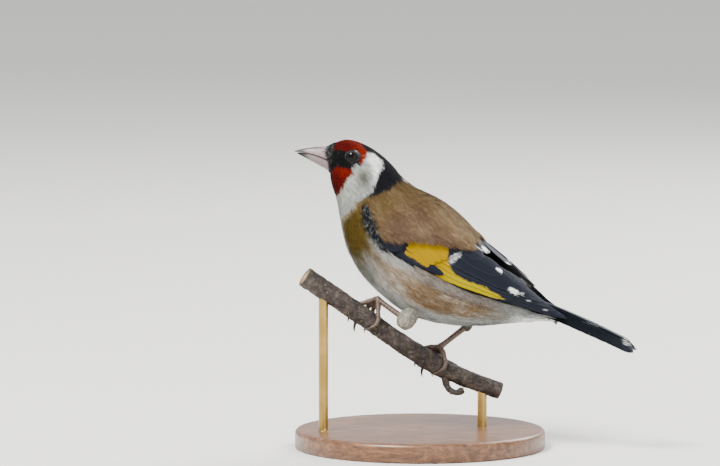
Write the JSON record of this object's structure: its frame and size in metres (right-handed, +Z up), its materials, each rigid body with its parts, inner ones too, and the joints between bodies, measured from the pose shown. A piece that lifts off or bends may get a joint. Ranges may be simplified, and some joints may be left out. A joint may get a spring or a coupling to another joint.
{
  "type": "european goldfinch",
  "caption": "Small finch with a conical bill and folded barred wings, gripping a short cut branch that two rods hold above a round base.",
  "frame": {"origin": "centre of the underside of the round base", "axes": "+X from the bird's head towards its tail, +Y to the bird's right, +Z up"},
  "size_m": [0.1092, 0.08, 0.0987],
  "materials": {
    "head_plumage": "short dense feathers, crimson face, white cheek and black crown",
    "neck_plumage": "short soft feathers, white throat and black nape band",
    "body_plumage": "soft brown back, buff flanks and whitish belly",
    "bill_horn": "smooth pinkish ivory horn, darker at the tip",
    "eye": "wet and glossy, nearly black",
    "flight_feathers": "smooth black vanes with a yellow band and white tips",
    "leg_scales": "horny scales, flesh brown",
    "bark": "thin grey brown bark with pale pores",
    "rod_brass": "drawn brass rod, satin",
    "base_wood": "turned hardwood, oiled"
  },
  "bodies": {
    "root": {"head": "head_plumage", "neck": "neck_plumage", "torso": "body_plumage", "thigh_left": "body_plumage", "thigh_right": "body_plumage", "bill_upper": "bill_horn", "bill_lower": "bill_horn", "eye_left": "eye", "eye_right": "eye", "wing_left": "flight_feathers", "wing_right": "flight_feathers", "tail": "flight_feathers", "shank_left": "leg_scales", "shank_right": "leg_scales", "foot_left": "leg_scales", "foot_right": "leg_scales", "stand_branch": "bark", "stand_rod_front": "rod_brass", "stand_rod_rear": "rod_brass", "stand_base": "base_wood"}
  },
  "joints": []
}
